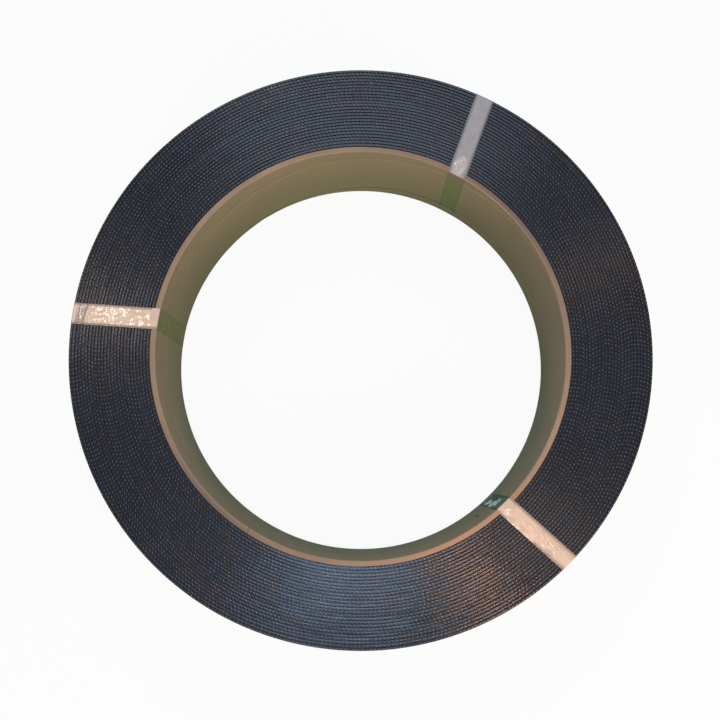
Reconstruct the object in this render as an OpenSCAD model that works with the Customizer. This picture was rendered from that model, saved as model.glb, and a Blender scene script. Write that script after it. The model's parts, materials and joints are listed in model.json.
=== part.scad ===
// Coil of plastic strapping, wound on a spiral-wound paper tube and held by three
// loops of clear adhesive tape. It lies flat on one end, with its axis upright.
// The origin is on the axis, in the plane of the tape that the coil rests on.
// All sizes are in millimetres.

/* [Tube] */
// Bore of the paper tube
tube_bore_d = 406; // [150:1:500]
// Wall of the paper tube
tube_wall = 5.25; // [3:0.25:12]

/* [Winding] */
// Width of the winding, and of the tube that is cut flush with it
coil_w = 150; // [90:1:240]
// Thickness of the strap over its embossing, which is also the step between layers
strap_t = 0.8; // [0.4:0.05:1.2]
// Rings of flush strap edges on each end
rings = 25; // [5:1:40]
// Layers whose edges lie flush with the ends, in each ring
flush_layers = 3; // [1:1:6]
// Layers that lie back from the ends, inside each ring
sunk_layers = 1; // [1:1:4]
// Depth that those layers lie back
sunk_depth = 1.5; // [0.3:0.1:4]

/* [Tape] */
// Width of the clear tape
tape_w = 19; // [8:1:50]
// Thickness of the clear tape
tape_t = 0.1; // [0.05:0.01:0.5]
// Place of the first loop round the coil, in degrees from +X
tape_1_at = 63; // [0:0.5:359]
// Place of the second loop round the coil, in degrees from +X
tape_2_at = 171.5; // [0:0.5:359]
// Place of the third loop round the coil, in degrees from +X
tape_3_at = 314; // [0:0.5:359]
// Skew of the first loop away from the radius, in degrees
tape_1_skew = 7; // [-15:0.5:15]
// Skew of the second loop away from the radius, in degrees
tape_2_skew = 4.5; // [-15:0.5:15]
// Skew of the third loop away from the radius, in degrees
tape_3_skew = 4; // [-15:0.5:15]

/* [Hidden] */
$fn = 180;

bore_r = tube_bore_d / 2;
tube_r = bore_r + tube_wall;
ring_step = (sunk_layers + flush_layers) * strap_t;
winding_r = tube_r + rings * ring_step;
section_w = winding_r - bore_r;
section_mid_r = bore_r + section_w / 2;
rest_z = tape_t;
kraft = [0.63, 0.5, 0.42];
strap_navy = [0.2, 0.21, 0.24];
clear_film = [0.86, 0.78, 0.72, 0.5];

// Spiral-wound paper tube with cleanly cut ends
module core_tube() {
    color(kraft)
        translate([0, 0, rest_z])
            rotate_extrude()
                translate([bore_r, 0])
                    square([tube_wall, coil_w]);
}

// Half section of the winding, with the grooves where its layers lie back from the ends
module winding_section() {
    difference() {
        translate([tube_r, 0])
            square([winding_r - tube_r, coil_w]);
        for (ring = [0 : rings - 1])
            for (end_z = [0, coil_w - sunk_depth])
                translate([tube_r + ring * ring_step, end_z])
                    square([sunk_layers * strap_t, sunk_depth]);
    }
}

// The strap, as one turned solid
module strap_winding() {
    color(strap_navy)
        translate([0, 0, rest_z])
            rotate_extrude()
                winding_section();
}

// Half section of the film that wraps the tube and the winding together
module film_section() {
    difference() {
        translate([bore_r - tape_t, 0])
            square([section_w + 2 * tape_t, coil_w + 2 * tape_t]);
        translate([bore_r, rest_z])
            square([section_w, coil_w]);
    }
}

// One loop of tape, cut from the wrapped film by a straight strip of the tape's width
module tape_loop(at, skew) {
    color(clear_film)
        intersection() {
            rotate_extrude()
                film_section();
            rotate([0, 0, at])
                translate([section_mid_r, 0, rest_z + coil_w / 2])
                    rotate([0, 0, skew])
                        cube([2 * section_w, tape_w, 2 * coil_w], center = true);
        }
}

core_tube();
strap_winding();
tape_loop(tape_1_at, tape_1_skew);  // tape_loop_1
tape_loop(tape_2_at, tape_2_skew);  // tape_loop_2
tape_loop(tape_3_at, tape_3_skew);  // tape_loop_3
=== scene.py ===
"""Looks of the strapping coil, round its CAD frame: embossed strap, spiral-wound paper tube and clear tape.

Lengths are in metres, and MM turns millimetres into them. The coil's axis is Z and it lies on its lower
end. Angles run counter-clockwise from X.
"""
import json
import math

import bpy
import numpy as np
from mathutils import Matrix, Vector

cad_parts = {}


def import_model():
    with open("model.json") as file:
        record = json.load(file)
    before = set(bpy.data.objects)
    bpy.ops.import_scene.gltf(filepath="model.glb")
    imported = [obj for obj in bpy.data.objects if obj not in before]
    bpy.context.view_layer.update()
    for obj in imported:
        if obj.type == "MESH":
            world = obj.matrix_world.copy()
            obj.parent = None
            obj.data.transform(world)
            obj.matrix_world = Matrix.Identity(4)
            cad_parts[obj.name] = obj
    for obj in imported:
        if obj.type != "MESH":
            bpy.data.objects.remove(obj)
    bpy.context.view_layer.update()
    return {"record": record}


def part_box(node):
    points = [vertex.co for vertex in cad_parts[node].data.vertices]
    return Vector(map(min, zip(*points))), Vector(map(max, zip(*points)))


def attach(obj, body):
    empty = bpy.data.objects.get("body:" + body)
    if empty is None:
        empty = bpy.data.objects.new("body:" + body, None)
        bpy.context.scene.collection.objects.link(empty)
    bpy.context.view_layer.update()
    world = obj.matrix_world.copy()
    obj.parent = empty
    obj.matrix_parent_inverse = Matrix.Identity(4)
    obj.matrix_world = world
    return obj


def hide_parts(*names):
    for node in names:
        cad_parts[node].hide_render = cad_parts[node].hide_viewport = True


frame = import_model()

MM = 0.001
TAU = 2 * math.pi

# ---------------------------------------------------------------- sizes


def reach(node):
    """Largest distance from the axis to the sides of a node's box."""
    lo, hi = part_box(node)
    return max(hi.x, hi.y, -lo.x, -lo.y)


mounts = {m["name"]: m for m in frame["record"]["mounts"]}
BORE_R = mounts["core_bore"]["dims"]["r_mm"] * MM
TUBE_R = reach("core_tube")
OUT_R = reach("strap_winding")
MID_R = (BORE_R + OUT_R) / 2
Z0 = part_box("strap_winding")[0].z
Z1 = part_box("strap_winding")[1].z

RINGS = 25
LAYERS_PER_RING = 4
RING_STEP = (OUT_R - TUBE_R) / RINGS
STRAP_T = RING_STEP / LAYERS_PER_RING
STRAP_W = 12.0 * MM
EMBOSS_PITCH = 4.0 * MM
TAPE_W = 19.0 * MM
WIDE_TAPE_W = TAPE_W + 2 * MM  # tape 2, which looks wider in the photo

# ---------------------------------------------------------------- mesh helpers


def grid_quads(rows, cols, wrap_rows, wrap_cols):
    """Point numbers of a grid's quads, with the grid's points numbered row by row."""
    row = np.arange(rows if wrap_rows else rows - 1)[:, None]
    col = np.arange(cols if wrap_cols else cols - 1)[None, :]
    next_row = (row + 1) % rows
    next_col = (col + 1) % cols
    corners = ((row, col), (next_row, col), (next_row, next_col), (row, next_col))
    return np.stack([r * cols + c for r, c in corners], axis=-1).reshape(-1, 4)


def sharpen(mesh, row_marks):
    """Makes an edge sharp where both its points carry the same mark; -1 is no mark."""
    if row_marks.max() < 0:
        return
    ends = np.empty(len(mesh.edges) * 2, dtype=np.int32)
    mesh.edges.foreach_get("vertices", ends)
    pair = row_marks[ends.reshape(-1, 2)]
    sharp = (pair[:, 0] >= 0) & (pair[:, 0] == pair[:, 1])
    mesh.attributes.new("sharp_edge", "BOOLEAN", "EDGE").data.foreach_set("value", sharp)


def join_grids(name, grids, material_names, attributes=()):
    """One object from point grids. Each grid is a dict: points [row, column, xyz], wrap_rows, wrap_cols,
    sharp (rows whose own edges are sharp) and one array [row, column] for each named attribute. Rows that
    go outward over the top and columns that go counter-clockwise give normals that point out."""
    verts, faces, marks = [], [], []
    values = {a: [] for a in attributes}
    base = 0
    for g in grids:
        points = g["points"]
        rows, cols = points.shape[:2]
        verts.append(points.reshape(-1, 3))
        faces.append(base + grid_quads(rows, cols, g.get("wrap_rows"), g.get("wrap_cols")))
        mark = np.full((rows, cols), -1)
        for row in g.get("sharp", ()):
            mark[row] = base + row
        marks.append(mark.reshape(-1))
        for a in attributes:
            values[a].append(np.broadcast_to(g[a], (rows, cols)).reshape(-1))
        base += rows * cols
    verts = np.concatenate(verts).astype(np.float32)
    faces = np.concatenate(faces).astype(np.int32)
    mesh = bpy.data.meshes.new(name)
    mesh.vertices.add(len(verts))
    mesh.vertices.foreach_set("co", verts.ravel())
    mesh.loops.add(faces.size)
    mesh.loops.foreach_set("vertex_index", faces.ravel())
    mesh.polygons.add(len(faces))
    mesh.polygons.foreach_set("loop_start", np.arange(0, faces.size, 4, dtype=np.int32))
    mesh.update(calc_edges=True)
    mesh.validate()
    mesh.polygons.foreach_set("use_smooth", np.ones(len(mesh.polygons), dtype=bool))
    sharpen(mesh, np.concatenate(marks))
    for a in attributes:
        layer = mesh.attributes.new(a, "FLOAT", "POINT")
        layer.data.foreach_set("value", np.concatenate(values[a]).astype(np.float32))
    for m in material_names:
        mesh.materials.append(bpy.data.materials[m])
    obj = bpy.data.objects.new(name, mesh)
    bpy.context.scene.collection.objects.link(obj)
    return obj


def place(obj, slot, *nodes):
    """Ties a finished piece to the frame."""
    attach(obj, "root")
    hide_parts(*nodes)


def polar(radius, angle, z):
    """Points from cylindrical coordinates, broadcast together."""
    radius, angle, z = np.broadcast_arrays(radius, angle, z)
    return np.stack([radius * np.cos(angle), radius * np.sin(angle), z], axis=-1)


def waves(rng, angle, counts, size):
    """Smooth random function of the angle, made of a few waves round the coil."""
    total = np.zeros_like(angle)
    for n in counts:
        total += rng.normal() * np.cos(n * angle + rng.uniform(0, TAU))
    return size * total / math.sqrt(len(counts))


def ripples(rng, x, y, longest, shortest, count, size):
    """Smooth random height over a plane, from waves in all directions."""
    total = np.zeros(np.broadcast(x, y).shape)
    for _ in range(count):
        length = shortest * (longest / shortest) ** rng.uniform()
        turn = rng.uniform(0, TAU)
        travel = x * math.cos(turn) + y * math.sin(turn)
        total += rng.normal() * np.cos(TAU * travel / length + rng.uniform(0, TAU))
    return size * total / math.sqrt(count)


def bell(x, width):
    """1 at 0, falling smoothly to about a third at the width."""
    return np.exp(-((x / width) ** 2))


def inside(x, low, high, soft):
    """1 between low and high, 0 outside, with soft steps."""
    return np.clip((x - low) / soft + 0.5, 0, 1) * np.clip((high - x) / soft + 0.5, 0, 1)


# ---------------------------------------------------------------- node helpers

# the Mix node's sockets for colours go by number, because their names repeat
MIX_FACTOR, MIX_A, MIX_B = 0, 6, 7


class Shader:
    """A material with one Principled shader, and short calls for the nodes before it."""

    def __init__(self, name, ior=1.5):
        self.mat = bpy.data.materials.new(name)
        self.mat.use_nodes = True
        self.tree = self.mat.node_tree
        self.bsdf = self.tree.nodes["Principled BSDF"]
        self.set("IOR", ior)

    def node(self, kind, inputs=(), **props):
        n = self.tree.nodes.new(kind)
        for k, v in props.items():
            setattr(n, k, v)
        for k, v in dict(inputs).items():
            self.put(v, n.inputs[k])
        return n

    def put(self, value, socket):
        """Links a node's output to a socket, or sets a constant on it."""
        if isinstance(value, bpy.types.NodeSocket):
            self.tree.links.new(value, socket)
        else:
            socket.default_value = value

    def set(self, socket, value):
        self.put(value, self.bsdf.inputs[socket])

    def math(self, operation, *values, clamp=False):
        n = self.node("ShaderNodeMath", operation=operation, use_clamp=clamp)
        for i, v in enumerate(values):
            self.put(v, n.inputs[i])
        return n.outputs[0]

    def add(self, total, *others):
        for other in others:
            total = self.math("ADD", total, other)
        return total

    def subtract(self, a, b):
        return self.math("SUBTRACT", a, b)

    def multiply(self, product, *others):
        for other in others:
            product = self.math("MULTIPLY", product, other)
        return product

    def divide(self, a, b):
        return self.math("DIVIDE", a, b)

    def bell(self, *pairs):
        """1 where every value is 0, falling smoothly; each pair is a value and how steeply it counts."""
        powers = [self.multiply(value, value, steepness) for value, steepness in pairs]
        return self.math("EXPONENT", self.multiply(self.add(*powers), -1.0))

    def spread(self, value, low, high, to_low=0.0, to_high=1.0):
        """Maps low..high of a value to to_low..to_high, clamped and smooth."""
        inputs = {"Value": value, "From Min": low, "From Max": high, "To Min": to_low, "To Max": to_high}
        return self.node("ShaderNodeMapRange", inputs, interpolation_type="SMOOTHSTEP").outputs[0]

    def mix(self, factor, a, b):
        """Colour a at factor 0 and colour b at factor 1."""
        n = self.node("ShaderNodeMix", data_type="RGBA")
        for i, v in ((MIX_FACTOR, factor), (MIX_A, a), (MIX_B, b)):
            self.put((*v, 1.0) if isinstance(v, tuple) else v, n.inputs[i])
        return n.outputs[2]

    def noise(self, vector, scale, detail=3.0, roughness=0.55):
        inputs = {"Vector": vector, "Scale": scale, "Detail": detail, "Roughness": roughness}
        return self.node("ShaderNodeTexNoise", inputs).outputs["Fac"]

    def attribute(self, name):
        return self.node("ShaderNodeAttribute", attribute_name=name).outputs["Fac"]

    def point(self):
        """Object coordinates."""
        return self.node("ShaderNodeTexCoord").outputs["Object"]

    def cylindrical(self, point):
        """Radius, angle and height of a point."""
        x, y, z = self.node("ShaderNodeSeparateXYZ", {"Vector": point}).outputs
        radius = self.math("SQRT", self.add(self.multiply(x, x), self.multiply(y, y)))
        return radius, self.math("ARCTAN2", y, x), z

    def vector(self, x, y, z):
        return self.node("ShaderNodeCombineXYZ", {"X": x, "Y": y, "Z": z}).outputs[0]

    def bump(self, height, distance):
        """Adds relief on top of any that is there."""
        before = self.bsdf.inputs["Normal"].links
        n = self.node("ShaderNodeBump", {"Height": height, "Distance": distance, "Strength": 1.0})
        if before:
            self.put(before[0].from_socket, n.inputs["Normal"])
        self.set("Normal", n.outputs[0])


# ---------------------------------------------------------------- strap materials

PATCH_SCALE = 22.0  # soft patches some centimetres wide
GRAIN_SCALE = 900.0  # grain of about a millimetre

# The embossing shows on the strap's edges as a row of nubs along each ring, painted lighter as rubbed wear
# and as painted glints of the blue and warm lamps.
NUBS_FROM = math.radians(171.5)  # where the nubs are counted from, under tape 2
CROWN_AT = 2.5  # layers from a ring's inner side to its nubs
NUB_STEEPNESS = (56.0, 2.4)  # of the rubbed spot with its painted glint, along the ring and across it
BULGE_STEEPNESS = (36.0, 0.8)  # of the swelling under the spot
CROWN_STEEPNESS = 1.6
# in repeats: how far the nubs of neighbouring rings and layers are out of step
RING_SHIFT = 0.31
RING_SHIFT_GROWTH = 0.053
LEAN = -0.2
LAG = 0.09

EDGE_TONES = (0.0120, 0.0140, 0.0195), (0.0160, 0.0180, 0.0250)
# colours of the painted glints on the rubbed nubs, as the blue lamps and the warm lamps give them
RUBBED_GLINT_BLUE = (0.160, 0.200, 0.275)
RUBBED_GLINT_WARM = (0.290, 0.185, 0.125)
# the layers that lie back, painted lighter than the flush edges as painted fill light against the shade of
# their grooves
SUNK_FILL_TONE = (0.0500, 0.0560, 0.0740)
FACE_TONES = (0.0080, 0.0095, 0.0145), (0.0125, 0.0145, 0.0205)
CREST_TONE = (0.030, 0.034, 0.044)
# painted shade on the layer below, where it shows in the gaps between the outer turns
GAP_SHADE_TONE = (0.004, 0.005, 0.007)


def ring_place(s, radius):
    """Number of the ring at a radius, and layers from the ring's inner side."""
    rings = s.divide(s.subtract(radius, TUBE_R), RING_STEP)
    ring = s.math("FLOOR", rings)
    return ring, s.multiply(s.subtract(rings, ring), LAYERS_PER_RING)


def nub_cycles(s, ring, off_crown, angle):
    """Repeats of the embossing passed on the way round, a whole number at the middle of each nub."""
    turned = s.math("FRACT", s.divide(s.subtract(angle, NUBS_FROM), TAU))
    crown_r = s.add(s.multiply(s.add(ring, CROWN_AT / LAYERS_PER_RING), RING_STEP), TUBE_R)
    repeats = s.math("ROUND", s.multiply(crown_r, TAU / EMBOSS_PITCH))
    out_of_step = s.multiply(ring, ring, RING_SHIFT_GROWTH), s.multiply(ring, RING_SHIFT)
    # neighbouring layers' repeats lean one way or the other, and lag on both sides of the crown
    lean = s.multiply(s.math("SINE", s.multiply(angle, 2.0)), LEAN)
    lag = s.multiply(off_crown, off_crown, LAG)
    return s.add(s.multiply(repeats, turned), *out_of_step, s.multiply(lean, off_crown), lag)


def strap_edge_material(name):
    """Strap edges on the ends of the winding: dark navy, glossy, each ring with a row of rubbed nubs
    painted lighter as wear and as blue and warm glints, and a painted sheen on the crowns that face Y or
    -Y.
    """
    s = Shader(name)
    at = s.point()
    radius, angle, _ = s.cylindrical(at)
    patch = s.noise(at, PATCH_SCALE, 2.0)
    grain = s.noise(at, GRAIN_SCALE, 2.0)
    sunk = s.attribute("sunk")
    flush = s.math("SUBTRACT", 1.0, sunk, clamp=True)
    # 1 where the ring faces Y or -Y, 0 where it faces X or -X
    facing_y = s.multiply(s.math("SINE", angle), s.math("SINE", angle))

    ring, layers = ring_place(s, radius)
    off_crown = s.subtract(layers, CROWN_AT)
    in_layer = s.subtract(s.math("FRACT", layers), 0.5)
    cycles = nub_cycles(s, ring, off_crown, angle)
    whole = s.math("ROUND", cycles)
    along = s.subtract(cycles, whole)
    # the line of nubs sways from side to side
    sway = s.multiply(s.math("SINE", s.multiply(cycles, TAU)), s.spread(facing_y, 0.2, 1.0, 0.22, 0.80))
    aside = s.subtract(off_crown, sway)
    # each repeat differs a little in height, in the strength of its painted glint, and in its tint between
    # a blue and a warm glint
    each = s.node("ShaderNodeTexWhiteNoise", {"Vector": s.vector(whole, ring, 0.0)}, noise_dimensions="3D")
    chance = each.outputs["Value"]
    tint = s.node("ShaderNodeSeparateColor", {"Color": each.outputs["Color"]}).outputs["Blue"]

    nub = s.bell((along, NUB_STEEPNESS[0]), (aside, NUB_STEEPNESS[1]))
    crown = s.bell((aside, CROWN_STEEPNESS))
    # painted glints on the nubs, partly rubbed wear, and a painted sheen on the crowns where the rings face
    # Y or -Y
    nub_wear_and_glint = s.multiply(nub, s.spread(chance, 0.0, 1.0, 0.35, 1.0))
    painted_crown_sheen = s.multiply(crown, s.spread(facing_y, 0.2, 1.0, 0.03, 0.20))
    rubbed_and_glint = s.math("MULTIPLY", s.add(nub_wear_and_glint, painted_crown_sheen), flush, clamp=True)
    body = s.mix(s.spread(patch, 0.3, 0.7), *EDGE_TONES)
    body = s.mix(rubbed_and_glint, body, s.mix(s.spread(tint, 0.62, 0.78), RUBBED_GLINT_BLUE, RUBBED_GLINT_WARM))
    # the layers that lie back get their painted lighter tone, a painted fill against the shade in the
    # grooves
    s.set("Base Color", s.mix(sunk, body, SUNK_FILL_TONE))

    # the layers that lie back are rough, but less so where they face Y or -Y; the nubs are rubbed smooth
    back_rough = s.multiply(sunk, s.spread(facing_y, 0.80, 0.97, 0.28, 0.05))
    nub_rough = s.multiply(nub, flush, -0.04)
    s.set("Roughness", s.add(s.spread(patch, 0.3, 0.7, 0.145, 0.185), back_rough, nub_rough))
    s.set("Specular IOR Level", 0.32)
    bulge = s.bell((along, BULGE_STEEPNESS[0]), (aside, BULGE_STEEPNESS[1]))
    s.bump(s.multiply(bulge, s.spread(chance, 0.0, 1.0, 0.6, 1.0), flush), 0.028 * MM)
    # each layer's edge is rounded
    s.bump(s.multiply(in_layer, in_layer), -0.035 * MM)
    s.bump(grain, 0.007 * MM)


def strap_face_material(name):
    """The broad side of the strap: the same plastic, with the embossed diamonds modelled."""
    s = Shader(name)
    at = s.point()
    patch = s.noise(at, PATCH_SCALE, 2.0)
    grain = s.noise(at, GRAIN_SCALE, 2.0)
    crest = s.multiply(s.attribute("crest"), s.spread(grain, 0.3, 0.7, 0.4, 1.0))
    body = s.mix(s.spread(patch, 0.3, 0.7), *FACE_TONES)
    body = s.mix(crest, body, CREST_TONE)
    # the layer below, seen in the gaps between turns, is painted darker as shade
    s.set("Base Color", s.mix(s.attribute("sunk"), body, GAP_SHADE_TONE))
    s.set("Roughness", s.spread(patch, 0.3, 0.7, 0.26, 0.36))
    s.bump(grain, 0.02 * MM)


# ---------------------------------------------------------------- paper material

RIM_TONES = (0.318, 0.212, 0.142), (0.404, 0.264, 0.174)
RIM_DARKER = (0.205, 0.135, 0.105)
RIM_WARM_LAMPLIGHT = (0.53, 0.285, 0.172)
# stretches of the rim: middle and width in degrees, and tone; two are darker, and the one at -62 degrees is
# a painted pool of warm lamplight
RIM_STRETCHES = ((42.0, 30.0, RIM_DARKER), (-135.0, 24.0, RIM_DARKER), (-62.0, 24.0, RIM_WARM_LAMPLIGHT))
LIP_HIGHLIGHT_TONE = (0.50, 0.315, 0.205)
PLY_LINE_TONE = (0.24, 0.155, 0.11)
WALL_TONES = (0.276, 0.222, 0.132), (0.299, 0.240, 0.143)
# painted shade with green bounce light, deep in the bore
DEEP_WALL_SHADE = (0.180, 0.186, 0.096)
STREAK_TONE = (0.20, 0.16, 0.10)
FIBRE_TONE = (0.42, 0.36, 0.25)
FRAYED_TONE = (0.52, 0.40, 0.29)
SCUFF_TONE = (0.07, 0.055, 0.045)
# small dark scuffs: angle in degrees, then depth below the top, half length and half height in mm, strength
SCUFFS = ((-53.5, 70.0, 2.6, 14.0, 0.85), (-122.0, 0.0, 0.9, 1.4, 0.45))
PLY_T = 0.66 * MM
PAPER_IOR = 1.45


def kraft_material(name, frayed=0.0):
    """Brown paper: the tube's inner wall and its cut rim, where the plies show. Frayed is how far the
    paper's colour goes to that of a torn edge."""
    s = Shader(name, PAPER_IOR)
    at = s.point()
    radius, angle, z = s.cylindrical(at)
    round_the_wall = s.multiply(angle, BORE_R)
    # fibres and faint streaks follow the ply, which climbs the wall slowly
    along = s.add(round_the_wall, s.multiply(z, 0.15))
    fibre = s.noise(s.vector(s.multiply(along, 0.22), z, radius), 2600.0, 3.0, 0.65)
    streak = s.noise(s.vector(s.multiply(along, 0.03), z, radius), 260.0, 3.0)
    blotch = s.noise(at, 28.0, 3.0)
    grain = s.noise(at, 1500.0, 2.0)

    wall = s.mix(s.spread(blotch, 0.3, 0.7), *WALL_TONES)
    # the wall is painted darker and greener towards the bore's far end: painted shade and painted green
    # bounce light
    wall = s.mix(s.multiply(s.spread(z, Z1 - 2 * MM, Z0 + 20 * MM), 0.9), wall, DEEP_WALL_SHADE)
    wall = s.mix(s.multiply(s.spread(streak, 0.5, 0.8), 0.25), wall, STREAK_TONE)
    rim = s.mix(s.spread(blotch, 0.3, 0.7), *RIM_TONES)
    for middle, width, tone in RIM_STRETCHES:
        off = s.divide(s.subtract(angle, math.radians(middle)), math.radians(width))
        rim = s.mix(s.bell((off, 1.0)), rim, tone)
    body = s.mix(s.spread(radius, BORE_R + 0.3 * MM, BORE_R + 0.7 * MM), wall, rim)

    # the rim's inner lip is painted paler: a painted highlight along its edge
    high = s.spread(z, Z1 - 1.2 * MM, Z1 - 0.3 * MM)
    lip_highlight = s.multiply(high, s.spread(radius, BORE_R + 1.3 * MM, BORE_R + 0.5 * MM))
    body = s.mix(s.multiply(lip_highlight, s.spread(streak, 0.3, 0.7, 0.2, 0.8)), body, LIP_HIGHLIGHT_TONE)
    body = s.mix(s.multiply(s.spread(fibre, 0.45, 0.75), 0.16), body, FIBRE_TONE)
    # dark lines between the plies, on the cut rim
    ply = s.math("ABSOLUTE", s.math("SINE", s.multiply(s.subtract(radius, BORE_R), math.pi / PLY_T)))
    on_rim = s.spread(radius, BORE_R + 0.3 * MM, BORE_R + 0.6 * MM)
    ply_line = s.multiply(on_rim, s.spread(ply, 0.25, 0.0, 0.0, 0.5))
    body = s.mix(s.multiply(ply_line, s.spread(blotch, 0.35, 0.6, 0.2, 1.0)), body, PLY_LINE_TONE)
    if frayed:
        body = s.mix(frayed, body, FRAYED_TONE)
    for turn, depth, half_l, half_h, strength in SCUFFS:
        dx = s.divide(s.subtract(round_the_wall, math.radians(turn) * BORE_R), half_l * MM)
        dz = s.divide(s.subtract(z, Z1 - depth * MM), half_h * MM)
        away = s.add(s.multiply(dx, dx), s.multiply(dz, dz), s.multiply(grain, 1.2))
        body = s.mix(s.spread(away, 1.6, 0.7, 0.0, strength), body, SCUFF_TONE)
    s.set("Base Color", body)
    s.set("Roughness", s.spread(fibre, 0.3, 0.8, 0.85, 0.68))
    s.bump(fibre, 0.05 * MM)
    s.bump(ply_line, -0.12 * MM)


# ---------------------------------------------------------------- tape materials

BORDER_ROUGHER = 0.12
DOUBLED_ROUGHNESS = 0.10


def film_material(name, centre, border, doubled_and_glint, dull, alpha, gloss, roughness, wrinkle, loose_gloss=None):
    """Clear tape, its colours painted reflections of what lies round it: one colour at its centre, and
    others along its borders, where it is dull, and where it is doubled, loose or carrying a painted glint
    (attribute doubled_and_glint). Wrinkle is the height of its fine relief, and loose_gloss the gloss where
    it is doubled or loose, if that differs."""
    s = Shader(name)
    at = s.point()
    milk = s.noise(at, 140.0, 3.0)
    speck = s.noise(at, 700.0, 2.0)
    brighter_centre = tuple(min(1.0, c * 1.25) for c in centre)
    darker_border = tuple(c * 0.8 for c in border)
    body = s.mix(s.spread(milk, 0.35, 0.7, 0.0, 0.5), centre, brighter_centre)
    body = s.mix(s.attribute("border"), body, border)
    body = s.mix(s.spread(speck, 0.62, 0.75, 0.0, 0.3), body, darker_border)
    body = s.mix(s.attribute("dull"), body, dull)
    s.set("Base Color", s.mix(s.attribute("doubled_and_glint"), body, doubled_and_glint))
    rough = s.math("MULTIPLY_ADD", s.attribute("border"), BORDER_ROUGHER, roughness)
    s.set("Roughness", s.math("MULTIPLY_ADD", s.attribute("doubled_and_glint"), DOUBLED_ROUGHNESS - roughness, rough))
    s.set("Alpha", alpha)
    s.set("Specular IOR Level", gloss)
    if loose_gloss is not None:
        shine = s.math("MULTIPLY_ADD", s.attribute("doubled_and_glint"), loose_gloss - gloss, gloss)
        s.set("Specular IOR Level", shine)
    s.bump(milk, wrinkle)


strap_edge_material("strap_edges")
strap_face_material("strap_face")
kraft_material("tube_paper")
kraft_material("tube_seam", frayed=0.6)
# the three tapes are one clear film: the grey, cream and peach of their faces are painted reflections of
# the lamps above each
film_material(
    "film_grey",
    centre=(0.47, 0.425, 0.41),
    border=(0.30, 0.275, 0.27),
    doubled_and_glint=(0.79, 0.66, 0.63),
    dull=(0.25, 0.23, 0.23),
    alpha=0.6,
    gloss=1.0,
    roughness=0.30,
    wrinkle=0.01 * MM,
)
film_material(
    "film_cream",
    centre=(0.96, 0.69, 0.525),
    border=(0.50, 0.36, 0.30),
    doubled_and_glint=(0.92, 0.69, 0.55),
    dull=(0.40, 0.31, 0.27),
    alpha=0.78,
    gloss=1.0,
    roughness=0.13,
    wrinkle=0.02 * MM,
)
film_material(
    "film_peach",
    centre=(0.98, 0.68, 0.52),
    border=(0.51, 0.36, 0.30),
    doubled_and_glint=(0.90, 0.68, 0.56),
    dull=(0.43, 0.31, 0.26),
    alpha=0.68,
    gloss=1.0,
    roughness=0.15,
    wrinkle=0.01 * MM,
)
# green as a painted reflection of green surroundings
film_material(
    "film_on_paper",
    centre=(0.16, 0.33, 0.06),
    border=(0.14, 0.29, 0.06),
    doubled_and_glint=(0.31, 0.27, 0.15),
    dull=(0.50, 0.42, 0.38),
    alpha=0.20,
    gloss=0.3,
    roughness=0.40,
    wrinkle=0.01 * MM,
)
# dark green as a painted reflection, and white painted glints where the film is loose
film_material(
    "film_crinkled",
    centre=(0.020, 0.135, 0.012),
    border=(0.018, 0.120, 0.012),
    doubled_and_glint=(0.95, 1.0, 0.95),
    dull=(0.36, 0.34, 0.36),
    alpha=0.70,
    gloss=0.05,
    roughness=0.25,
    wrinkle=0.01 * MM,
    loose_gloss=1.0,
)

# ---------------------------------------------------------------- the winding's ends

# The section of a ring, in mm from its inner side: the two sides of the floor of the layer that lies back,
# then points over the crown of the three flush ones, each with its drop below the coil's end.
SUNK_FLOOR = (0.10, 0.70)
CROWN = ((0.84, 0.40), (0.96, 0.03), (2.00, 0.0), (3.02, 0.03), (3.14, 0.40))
SHARP_ROWS = (0, 1, 3, 5)  # the two sides of the floor and the two shoulders of the crown
ROWS_PER_RING = len(SUNK_FLOOR) + len(CROWN)
SUNK_DROP = 1.42 * MM
RING_COLUMNS = 560


def ring_rows(end, ring, angle):
    """Rows across one ring on one end: radius, depth below the end, and sunk share."""
    rng = np.random.default_rng([end, ring])
    inner_r = TUBE_R + ring * RING_STEP
    # round the coil, a ring wanders sideways and its groove's depth and its level vary
    shift = waves(rng, angle, (1, 2, 3, 5, 8), 0.06 * MM)
    groove = np.clip(0.88 + waves(rng, angle, (1, 2, 4, 6, 9), 0.12), 0.45, 1.0)
    level = abs(rng.normal(0, 0.08 * MM)) + waves(rng, angle, (2, 3, 5, 7, 11), 0.05 * MM)
    rows = [(inner_r + r * MM + shift / 2, SUNK_DROP * groove, 1.0) for r in SUNK_FLOOR]
    for r, drop in CROWN:
        own = waves(rng, angle, (3, 7, 13, 23, 37), 0.02 * MM)
        rows.append((inner_r + r * MM + shift, np.clip(drop * MM + level + own, 0.0, None), 0.0))
    return rows


def block_rows(end, first_ring, last_ring, angle):
    """Rows across a block of rings on one end, and down its outer side."""
    rows = []
    for ring in range(first_ring, last_ring):
        rows += ring_rows(end, ring, angle)
    if last_ring < RINGS:
        # down behind the next block's sunk layer
        rows.append((TUBE_R + last_ring * RING_STEP + 0.14 * MM, SUNK_DROP + 0.2 * MM, 1.0))
    else:
        # round to the outer side, then in behind the strap that is wound there
        rows.append((OUT_R - 0.06 * MM, 0.45 * MM, 0.0))
        rows.append((OUT_R - 0.55 * MM, 0.9 * MM, 1.0))
    return rows


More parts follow.
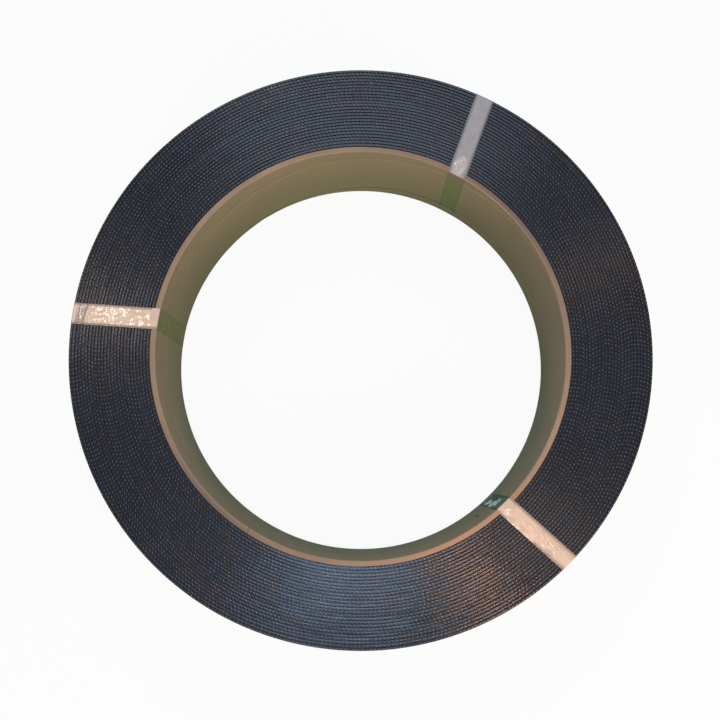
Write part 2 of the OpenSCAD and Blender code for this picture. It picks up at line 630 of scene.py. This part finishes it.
def ring_block(name, first_ring, last_ring):
    """A closed block of rings, with the strap edges modelled on both ends."""
    angle = np.arange(RING_COLUMNS) * TAU / RING_COLUMNS
    top = block_rows(1, first_ring, last_ring, angle)
    bottom = block_rows(2, first_ring, last_ring, angle)
    stack = [(polar(radius, angle, Z1 - drop), sunk) for radius, drop, sunk in top]
    stack += [(polar(radius, angle, Z0 + drop), sunk) for radius, drop, sunk in reversed(bottom)]
    sharp = [ROWS_PER_RING * ring + row for ring in range(last_ring - first_ring) for row in SHARP_ROWS]
    grid = {
        "points": np.stack([points for points, _ in stack]),
        "sunk": np.array([[sunk] for _, sunk in stack]),
        "sharp": sharp + [len(stack) - 1 - row for row in sharp],
        "wrap_rows": True,
        "wrap_cols": True,
    }
    place(join_grids(name, [grid], ["strap_edges"], ["sunk"]), "strap", "strap_winding")


ring_block("strap_rings_inner", 0, 8)
ring_block("strap_rings_middle", 8, 17)
ring_block("strap_rings_outer", 17, RINGS)

# ---------------------------------------------------------------- the winding's outer side

WIND_PITCH = STRAP_W + 0.32 * MM
COLUMNS_PER_TURN = 880
PLAIN_LAYER_COLUMNS = 720
DIAMOND_W = 4.72 * MM  # of the embossing, across the strap
EMBOSS_DEPTH = 0.22 * MM
EDGE_ROUND = 0.08 * MM
BEAD = 0.04 * MM  # by which the strap's back is narrower than its face, at each edge


def outer_band():
    """The outermost layer: one embossed strap wound in a helix from end to end."""
    rng = np.random.default_rng(31)
    turns = ((Z1 - Z0) + STRAP_W) / WIND_PITCH
    first, last = 0.035, turns - 0.035
    turn = np.arange(round(first * COLUMNS_PER_TURN), round(last * COLUMNS_PER_TURN)) / COLUMNS_PER_TURN
    angle = TAU * turn
    along = OUT_R * angle
    middle = Z0 - STRAP_W / 2 + WIND_PITCH * turn + waves(rng, angle / 5, (3, 7, 13, 19, 31), 0.10 * MM)
    lo = np.clip(middle - STRAP_W / 2, Z0 + 0.25 * MM, None)
    hi = np.clip(middle + STRAP_W / 2, None, Z1 - 0.25 * MM)
    sag = np.minimum(waves(rng, angle / 5, (2, 5, 9, 17), 0.04 * MM), 0)
    face_r = OUT_R - 0.03 * MM
    back_r = OUT_R - STRAP_T
    rows = [(back_r, lo + BEAD, 0.0)]
    for share in np.linspace(0, 1, 6):
        z = lo + (hi - lo) * share
        diamond = 0.5 + 0.5 * np.cos(TAU * along / EMBOSS_PITCH) * np.cos(TAU * (z - middle) / DIAMOND_W)
        if share in (0.0, 1.0):
            rows.append((face_r - EDGE_ROUND + sag, z, 0.0))
        else:
            rows.append((face_r - EMBOSS_DEPTH * (1 - diamond) + sag, z, diamond * 0.8))
    rows.append((back_r, hi - BEAD, 0.0))
    points = np.stack([polar(r, angle, z) for r, z, _ in rows])
    crest = np.stack([np.broadcast_to(c, angle.shape) for _, _, c in rows])
    return {"points": points[::-1], "crest": crest[::-1], "sunk": 0.0, "wrap_rows": True}


def layer_below():
    """The plain layer under the outermost one, seen in the gap between its turns."""
    angle = np.arange(PLAIN_LAYER_COLUMNS) * TAU / PLAIN_LAYER_COLUMNS
    heights = np.array([Z1 - 0.7 * MM, Z1 - 60 * MM, Z1 - 100 * MM, Z0 + 0.7 * MM])
    points = polar(OUT_R - STRAP_T + 0.05 * MM, angle[None, :], heights[:, None])
    return {"points": points, "crest": 0.0, "sunk": 1.0, "wrap_cols": True}


outer_grids = [outer_band(), layer_below()]
outer_turns = join_grids("strap_outer_turns", outer_grids, ["strap_face"], ["crest", "sunk"])
place(outer_turns, "strap", "strap_winding")

# ---------------------------------------------------------------- paper tube

WALL_COLUMNS = 600
PLY_COLUMNS_PER_TURN = 500
SEAM_COLUMNS = 720
INNER_PLY_T = 0.28 * MM
SEAM_CLIMB = 114.0 * MM  # for each turn
SEAM_SLOPE = SEAM_CLIMB / TAU
SEAM_FROM = math.radians(13.6)
SEAM_GAP = 0.8 * MM
# the cut plies on the rim: distance from the bore and drop below the end, in mm
RIM_PLIES = ((0.62, 0.05), (1.3, 0.07), (2.0, 0.02), (2.6, 0.06), (3.3, 0.02), (4.0, 0.07), (4.6, 0.03))


def core_tube():
    """The tube under its innermost ply: bore, rims with their cut plies, and the wall under the strap."""
    rng = np.random.default_rng(41)
    angle = np.arange(WALL_COLUMNS) * TAU / WALL_COLUMNS
    ply_r = BORE_R + INNER_PLY_T
    rim = [(ply_r, 0.30 * MM)]
    rim += [(BORE_R + r * MM, drop * MM) for r, drop in RIM_PLIES]
    rim += [(TUBE_R - 0.3 * MM, 0.10 * MM), (TUBE_R, 0.45 * MM)]
    rim = [(r, drop, waves(rng, angle, (5, 9, 17, 31, 57), 0.025 * MM)) for r, drop in rim]
    rows = [polar(ply_r, angle, z) for z in np.linspace(Z0 + 0.6 * MM, Z1 - 0.6 * MM, 8)]
    rows += [polar(r, angle, np.minimum(Z1 - drop + ragged, Z1)) for r, drop, ragged in rim]
    rows += [polar(TUBE_R, angle, Z1 - 2 * MM), polar(TUBE_R, angle, Z0 + 2 * MM)]
    rows += [polar(r, angle, np.maximum(Z0 + drop - ragged, Z0)) for r, drop, ragged in reversed(rim)]
    grid = {"points": np.stack(rows), "wrap_rows": True, "wrap_cols": True}
    return join_grids("paper_tube", [grid], ["tube_paper"])


def inner_ply():
    """The innermost ply, a paper strip wound in a helix, whose edges leave a fine seam."""
    rng = np.random.default_rng(42)
    strip = SEAM_CLIMB - SEAM_GAP
    span = ((Z1 - Z0) + strip) / SEAM_SLOPE
    turn = np.linspace(0.004, 1 - 0.004, round(span / TAU * PLY_COLUMNS_PER_TURN)) * span
    angle = SEAM_FROM + turn
    edge = Z1 - SEAM_SLOPE * turn
    lo = np.maximum(edge, Z0 + 0.30 * MM)
    hi = np.minimum(edge + strip, Z1 - 0.30 * MM)
    relief = waves(rng, angle / 3, (4, 9, 15, 27), 0.03 * MM)
    face_r = BORE_R + 0.02 * MM + np.abs(relief)
    back_r = BORE_R + INNER_PLY_T + 0.02 * MM
    rows = [polar(back_r, angle, lo)]
    rows += [polar(face_r, angle, lo + (hi - lo) * share) for share in np.linspace(0, 1, 13)]
    rows += [polar(back_r, angle, hi)]
    return join_grids("paper_inner_ply", [{"points": np.stack(rows), "wrap_rows": True}], ["tube_paper"])


def seam_lip():
    """The frayed edge of the ply below, seen as a fine pale line in the seam."""
    rng = np.random.default_rng(43)
    turn = np.linspace(0.01, 1, SEAM_COLUMNS) * ((Z1 - Z0) - 1.5 * MM) / SEAM_SLOPE
    middle = Z1 - SEAM_SLOPE * turn - SEAM_GAP / 2
    wander = waves(rng, turn, (3, 8, 15, 31), 0.06 * MM)
    width = SEAM_GAP + 0.25 * MM
    rows = []
    for across, lift in ((-0.5, 0.0), (-0.42, 0.30), (0.42, 0.24), (0.5, 0.0)):
        radius = BORE_R + INNER_PLY_T + 0.01 * MM - lift * MM
        rows.append(polar(radius, SEAM_FROM + turn, middle + across * width + wander))
    return join_grids("paper_seam", [{"points": np.stack(rows), "wrap_rows": True}], ["tube_seam"])


for piece in (core_tube(), inner_ply(), seam_lip()):
    place(piece, "kraft_paper", "core_tube")

# ---------------------------------------------------------------- tape loops

FILM_T = 0.07 * MM
FILM_CLEAR = 0.02 * MM  # between the film and what it lies on
TAPE_LINES = 31  # lengthwise lines of points on its face; its back has every fifth
BACK_STEP = 5
BORDER_W = 2.4 * MM
CORNER_R = 0.35 * MM
# the loop's parts in order: points along each, and whether it is passed backwards, upward or inward
TAPE_PARTS = (("wall", 100, True), ("top", 110, False), ("side", 40, False), ("under", 30, True))


class Strip:
    """The flat layout of a tape: its lengthwise lines, and where each meets the bore and the outer side."""

    def __init__(self, at, heading, width):
        self.u = np.array([math.cos(heading), math.sin(heading)])
        sideways = np.array([-self.u[1], self.u[0]])
        centre = MID_R * np.array([math.cos(at), math.sin(at)])
        self.across = np.linspace(-0.5, 0.5, TAPE_LINES) * width
        self.flat = centre + self.across[:, None] * sideways
        self.near = self.crossing(BORE_R)
        self.far = self.crossing(OUT_R)

    def crossing(self, radius):
        """Distance along the heading at which each line meets a circle."""
        b = self.flat @ self.u
        return -b + np.sqrt(b * b - (self.flat * self.flat).sum(1) + radius * radius)

    def station(self, part, share):
        """One point for each line at a share of the way along a part, their normals, and distance along."""
        if part in ("wall", "side"):
            reach_to = self.near if part == "wall" else self.far
            p = self.flat + reach_to[:, None] * self.u
            z = np.full(TAPE_LINES, (Z1 - CORNER_R) * (1 - share) + (Z0 + CORNER_R) * share)
            out = p / np.linalg.norm(p, axis=1)[:, None] * (-1 if part == "wall" else 1)
            normal = np.column_stack([out, np.zeros(TAPE_LINES)])
            along = Z1 - z
        else:
            reach_to = (self.near + CORNER_R) * (1 - share) + (self.far - CORNER_R) * share
            p = self.flat + reach_to[:, None] * self.u
            z = np.full(TAPE_LINES, Z1 if part == "top" else Z0)
            normal = np.tile([0.0, 0.0, 1.0 if part == "top" else -1.0], (TAPE_LINES, 1))
            along = (self.far - self.near) * share
        return np.column_stack([p, z]), normal, along


def fade(part, share):
    """How much of its wrinkles the film has: none underneath, and less near the loop's corners."""
    if part == "under":
        return 0.0
    if part == "top":
        return min(1.0, 0.25 + share * 10, 0.1 + (1 - share) * 10)
    return min(1.0, share * 12, (1 - share) * 12)


def tape(name, node, at, skew, width, materials, lift, marks):
    """A loop of film round the section, at an angle and turned off the radius by a skew, both in degrees.
    lift(along, across, part) gives its wrinkles, and marks(along, across, part) where it is doubled or
    carries a painted glint, where it is dull, and whether its borders are stuck down. Along runs outward
    from the bore, in metres, or down from the top. The materials are the film's, and the film's on the
    tube's wall."""
    strip = Strip(math.radians(at), math.radians(at + skew), width)
    from_edge = width / 2 - np.abs(strip.across)
    edge_calm = 0.25 + 0.75 * np.clip(from_edge / (2.2 * MM), 0, 1)
    at_border = np.clip((BORDER_W - from_edge) / (0.5 * MM), 0, 1)
    face, back, on_wall = [], [], []
    values = {"border": [], "doubled_and_glint": [], "dull": []}
    for part, count, backwards in TAPE_PARTS:
        for share in np.linspace(0, 1, count):
            if backwards:
                share = 1 - share
            base, normal, along = strip.station(part, share)
            rise = np.clip(lift(along, strip.across, part), 0, None) * edge_calm * fade(part, share)
            face.append(base + normal * (FILM_CLEAR + FILM_T + rise)[:, None])
            back.append(base + normal * (FILM_CLEAR + rise)[:, None])
            on_wall.append(part == "wall")
            doubled_and_glint, dull, stuck = marks(along, strip.across, part)
            for key, value in (("border", at_border * stuck), ("doubled_and_glint", doubled_and_glint), ("dull", dull)):
                values[key].append(np.broadcast_to(value, strip.across.shape))

    def both_sides(face_columns, back_columns):
        """Rows of the face and then of the back, turned so that the normals point out."""
        face_rows, back_rows = np.stack(face_columns, axis=1), np.stack(back_columns, axis=1)
        return np.concatenate([face_rows, back_rows[::BACK_STEP][::-1]])[::-1]

    grid = {key: both_sides(columns, columns) for key, columns in values.items()}
    grid.update(points=both_sides(face, back), wrap_rows=True, wrap_cols=True)
    obj = join_grids(name, [grid], materials, list(values))
    # the part on the tube's wall has the second material
    on_wall = np.array(on_wall)
    quad_on_wall = on_wall & np.roll(on_wall, -1)
    slots = np.tile(quad_on_wall, len(grid["points"])).astype(np.int32)
    obj.data.polygons.foreach_set("material_index", slots)
    place(obj, "clear_tape", node)


def dome(along, across, x, y, height, width, stretch=1.0):
    """A swelling of the film: its place, height and width in mm, and how much longer than wide it is."""
    return height * MM * bell(np.hypot((along - x * MM) / stretch, across - y * MM), width * MM)


def crumpled_end(seed, along, across):
    """Where the film is gathered at the foot of the wall."""
    knots = ripples(np.random.default_rng(seed), along, across, 8 * MM, 3 * MM, 12, 1.0)
    return np.clip(knots * 3 + 0.6, 0, 1) * inside(along, 131 * MM, 152 * MM, 5 * MM)


# bubbles in tape 1: place along it and across it, in mm
SMOOTH_DOMES = ((8.2, 3.4), (13.7, -0.8), (5.0, 2.6), (1.5, -4.0))


def smooth_tape(along, across, part):
    """Wrinkles of tape 1: nearly flat, with a few bubbles over the tube's rim."""
    rng = np.random.default_rng(61)
    h = 0.04 * MM + ripples(rng, along, across, 40 * MM, 12 * MM, 10, 0.03 * MM)
    if part == "top":
        for x, y in SMOOTH_DOMES:
            h = h + dome(along, across, x, y, 0.75, 2.3)
        h = h + 0.25 * MM * smooth_tape_marks(along, across, part)[0]
    if part == "wall":
        crumple = ripples(rng, along, across, 7 * MM, 2.5 * MM, 16, 0.14 * MM)
        h = h + np.abs(crumple) * bell(along - 135 * MM, 18 * MM) * 1.6
    return h


def smooth_tape_marks(along, across, part):
    """An air pocket over the tube's rim; on the wall the doubled film's tone fades out downwards."""
    if part == "wall":
        return np.clip(1 - along / (30 * MM), 0, 1), crumpled_end(71, along, across), 1.0
    if part != "top":
        return 0.0, 0.0, 1.0
    past = along - 9 * MM
    away = np.hypot(past / (14 * MM), (across + 0.15 * past) / (7.0 * MM))
    return np.clip((1.0 - away) * 4, 0, 1), 0.0, 1.0


# folds across tape 2: place along it, lean, and height
FOLDS = ((71.5 * MM, 0.10, 0.45 * MM), (80.5 * MM, -0.06, 0.35 * MM), (30 * MM, 0.5, 0.2 * MM))


def creased_tape(along, across, part):
    """Wrinkles of tape 2: rippled all over, with three folds across it."""
    rng = np.random.default_rng(62)
    h = 0.12 * MM + ripples(rng, along, across, 17 * MM, 7 * MM, 18, 0.085 * MM)
    h = h + np.abs(ripples(rng, along, across, 9 * MM, 4 * MM, 18, 0.03 * MM))
    if part == "top":
        h = h * (1 - 0.7 * inside(along, 72 * MM, 90 * MM, 2 * MM))
        for fold, lean, height in FOLDS:
            h = h + height * bell(along - fold - lean * across, 1.1 * MM)
        h = h + 0.3 * MM * creased_tape_marks(along, across, part)[0]
    if part == "wall":
        crumple = ripples(rng, along, across, 9 * MM, 3 * MM, 12, 0.2 * MM)
        h = h + np.abs(crumple) * bell(along - 135 * MM, 20 * MM)
    return h


def creased_tape_marks(along, across, part):
    """A corner folded back over the inner end, and a dull stretch between two folds near the outer side."""
    if part == "wall":
        return 0.0, crumpled_end(72, along, across), 1.0
    if part != "top":
        return 0.0, 0.0, 1.0
    corner = inside(along, -1 * MM, 7.5 * MM, 0.8 * MM)
    corner = corner * inside(across + 0.35 * along, -20 * MM, 4 * MM, 0.8 * MM)
    dull = 0.85 * inside(along - 0.1 * across, 72.5 * MM, 81 * MM, 1.5 * MM)
    return corner, dull, 1.0


LOOSE_BORDER_GLINTS = (17.5, 29.5, 64.0)  # mm along tape 3


def glinting_tape(along, across, part):
    """Wrinkles of tape 3: creased along its middle, with small swellings on its loose border."""
    rng = np.random.default_rng(63)
    h = 0.06 * MM + ripples(rng, along, across, 40 * MM, 14 * MM, 10, 0.04 * MM)
    creases = ripples(rng, along + 0.6 * across, across * 1.8, 16 * MM, 7 * MM, 14, 0.20 * MM)
    creased = bell(along - 45 * MM, 20 * MM) + 0.8 * bell(along - 72 * MM, 8 * MM)
    h = h + np.abs(creases) * creased * bell(across, 6 * MM)
    if part == "top":
        h = h + dome(along, across, 7.8, 1.2, 0.85, 4.4)
        for x in LOOSE_BORDER_GLINTS:
            h = h + dome(along, across, x, -6.8, 0.46, 2.1, stretch=1.5)
    if part == "wall":
        crumple = ripples(rng, along, across, 10 * MM, 3 * MM, 12, 0.3 * MM)
        h = h + np.abs(crumple) * bell(along - 70 * MM, 60 * MM)
    return h


# patches of tape 3 that have come off the paper, painted white as glints: depth, place across, half height
# and half width, in mm
LOOSE_GLINT_PATCHES = (
    (50, -2.5, 22, 3.8),
    (62, -5.6, 18, 2.8),
    (92, -2.8, 18, 3.2),
    (104, -6.0, 13, 2.2),
    (42, 2.8, 10, 1.4),
)


def loose_glint_patches(along, across):
    """1 in the patches and 0 outside them, with ragged edges."""
    ragged = ripples(np.random.default_rng(73), along * 0.3, across, 7 * MM, 3 * MM, 14, 0.24)
    away = [
        np.hypot((along - depth * MM) / (half_h * MM), (across - aside * MM) / (half_w * MM))
        for depth, aside, half_h, half_w in LOOSE_GLINT_PATCHES
    ]
    return np.clip((1.0 + ragged - np.minimum.reduce(away)) * 3, 0, 1)


def glinting_tape_marks(along, across, part):
    """Dull bands along both borders, one of them loose over a stretch, and loose patches on the wall,
    painted white as glints.
    """
    if part == "wall":
        return loose_glint_patches(along, across), crumpled_end(74, along, across), 1.0
    if part != "top":
        return 0.0, 0.0, 1.0
    # one band widens towards the coil's outer side, and the other starts half-way
    band = np.where(across > 0, 2.2 * MM + 0.042 * along, 3.9 * MM)
    from_edge = TAPE_W / 2 - np.abs(across)
    dull = 0.3 * np.clip((band - from_edge) / (0.7 * MM) + 0.5, 0, 1)
    dull = dull * np.where(across > 0, 1.0, inside(along, 46 * MM, 100 * MM, 8 * MM))
    return 0.0, dull, 1 - inside(along, 14 * MM, 47 * MM, 4 * MM) * (across < 0)


GREY = ("film_grey", "film_on_paper")
CREAM = ("film_cream", "film_on_paper")
PEACH = ("film_peach", "film_crinkled")
tape("tape_film_1", "tape_loop_1", 63, 7, TAPE_W, GREY, smooth_tape, smooth_tape_marks)
tape("tape_film_2", "tape_loop_2", 171.5, 4.5, WIDE_TAPE_W, CREAM, creased_tape, creased_tape_marks)
tape("tape_film_3", "tape_loop_3", 314, 4, TAPE_W, PEACH, glinting_tape, glinting_tape_marks)

# ---------------------------------------------------------------- stage, light and camera

FLOOR_HALF = 6.0
FLOOR_DROP = 0.2 * MM  # keeps the floor clear of the coil's lower end
FLOOR_WHITE = 0.93  # share of plain white that the camera sees in the floor; the rest keeps the shadow
MIDDLE_OF_TOP = Vector((0, 0, Z1))


def stage_floor():
    """A pale floor that keeps the coil's shadow."""
    mesh = bpy.data.meshes.new("floor")
    corners = [(x * FLOOR_HALF, y * FLOOR_HALF, 0) for x, y in ((-1, -1), (1, -1), (1, 1), (-1, 1))]
    mesh.from_pydata(corners, [], [(0, 1, 2, 3)])
    floor = bpy.data.objects.new("floor", mesh)
    bpy.context.scene.collection.objects.link(floor)
    floor.location.z = -FLOOR_DROP
    mat = bpy.data.materials.new("pale_floor")
    mat.use_nodes = True
    nodes, links = mat.node_tree.nodes, mat.node_tree.links
    nodes.clear()
    out = nodes.new("ShaderNodeOutputMaterial")
    diffuse = nodes.new("ShaderNodeBsdfDiffuse")
    diffuse.inputs["Color"].default_value = (0.86, 0.86, 0.85, 1)
    white = nodes.new("ShaderNodeEmission")
    white.inputs["Strength"].default_value = 1.0
    seen = nodes.new("ShaderNodeLightPath")
    share = nodes.new("ShaderNodeMath")
    share.operation = "MULTIPLY"
    share.inputs[1].default_value = FLOOR_WHITE
    links.new(seen.outputs["Is Camera Ray"], share.inputs[0])
    mix = nodes.new("ShaderNodeMixShader")
    links.new(share.outputs[0], mix.inputs[0])
    links.new(diffuse.outputs[0], mix.inputs[1])
    links.new(white.outputs[0], mix.inputs[2])
    links.new(mix.outputs[0], out.inputs[0])
    mesh.materials.append(mat)


def world(colour, strength):
    """Even fill light; the camera sees white."""
    w = bpy.data.worlds.new("studio")
    bpy.context.scene.world = w
    w.use_nodes = True
    nodes, links = w.node_tree.nodes, w.node_tree.links
    nodes.clear()
    out = nodes.new("ShaderNodeOutputWorld")
    fill = nodes.new("ShaderNodeBackground")
    fill.inputs[0].default_value = (*colour, 1)
    fill.inputs[1].default_value = strength
    white = nodes.new("ShaderNodeBackground")
    white.inputs[0].default_value = (1, 1, 1, 1)
    seen = nodes.new("ShaderNodeLightPath")
    mix = nodes.new("ShaderNodeMixShader")
    links.new(seen.outputs["Is Camera Ray"], mix.inputs[0])
    links.new(fill.outputs[0], mix.inputs[1])
    links.new(white.outputs[0], mix.inputs[2])
    links.new(mix.outputs[0], out.inputs[0])


def softbox(name, position, width, height, radiance, colour):
    """A lamp panel that faces the middle of the coil's top."""
    data = bpy.data.lights.new(name, "AREA")
    data.shape = "RECTANGLE"
    data.size, data.size_y = width, height
    data.energy = 4 * width * height * radiance
    data.color = colour
    lamp = bpy.data.objects.new(name, data)
    bpy.context.scene.collection.objects.link(lamp)
    lamp.location = position
    lamp.rotation_euler = (Vector(position) - MIDDLE_OF_TOP).to_track_quat("Z", "Y").to_euler()


BLUE_WHITE = (0.68, 0.85, 1.0)
BLUE = (0.62, 0.78, 1.0)
DEEP_BLUE = (0.49, 0.70, 1.0)
CREAM_WHITE = (1.0, 0.85, 0.67)
PEACH_WHITE = (1.0, 0.78, 0.62)
PINK_WHITE = (1.0, 0.76, 0.60)
ORANGE = (1.0, 0.53, 0.29)

stage_floor()
world((0.88, 0.93, 1.0), 0.25)
# broad light from three sides
softbox("key_north", (-0.15, 1.25, 1.55), 0.7, 0.4, 10.0, BLUE_WHITE)
softbox("fill_east", (0.98, -0.98, 0.95), 0.6, 0.5, 8.2, CREAM_WHITE)
softbox("fill_west", (-0.55, -1.25, 0.95), 0.6, 0.5, 6.3, CREAM_WHITE)
# smaller panels and lamps above the coil, for what its glossy strap and tape mirror
softbox("panel_north", (0.0, 0.69, 1.65), 0.72, 0.26, 2.5, BLUE)
softbox("panel_south", (-0.04, -0.345, 1.65), 0.34, 0.20, 8.9, DEEP_BLUE)
softbox("core_left", (-0.62, 0.26, 1.64), 0.10, 0.09, 18.0, PEACH_WHITE)
softbox("panel_right", (0.430, -0.28, 1.65), 0.20, 0.34, 1.8, PINK_WHITE)
softbox("warm_lamp", (0.215, -0.3245, 1.10), 0.035, 0.15, 34.0, ORANGE)
softbox("warm_east", (0.45, 0.271, 1.10), 0.06, 0.15, 3.5, ORANGE)

# the camera looks down the axis from about six degrees off it, with the photo's up along Y
LOOK_AT = Vector((-0.0003, -0.0078, Z1))
camera_data = bpy.data.cameras.new("camera")
camera_data.lens = 52
camera_data.sensor_width = 36
camera = bpy.data.objects.new("camera", camera_data)
bpy.context.scene.collection.objects.link(camera)
camera.location = (0.0043, -0.1137, 1.170)
back = (camera.location - LOOK_AT).normalized()
right = Vector((0, 1, 0)).cross(back).normalized()
camera.rotation_euler = Matrix((right, back.cross(right), back)).transposed().to_euler()
bpy.context.scene.camera = camera
bpy.context.scene.view_settings.view_transform = "Standard"
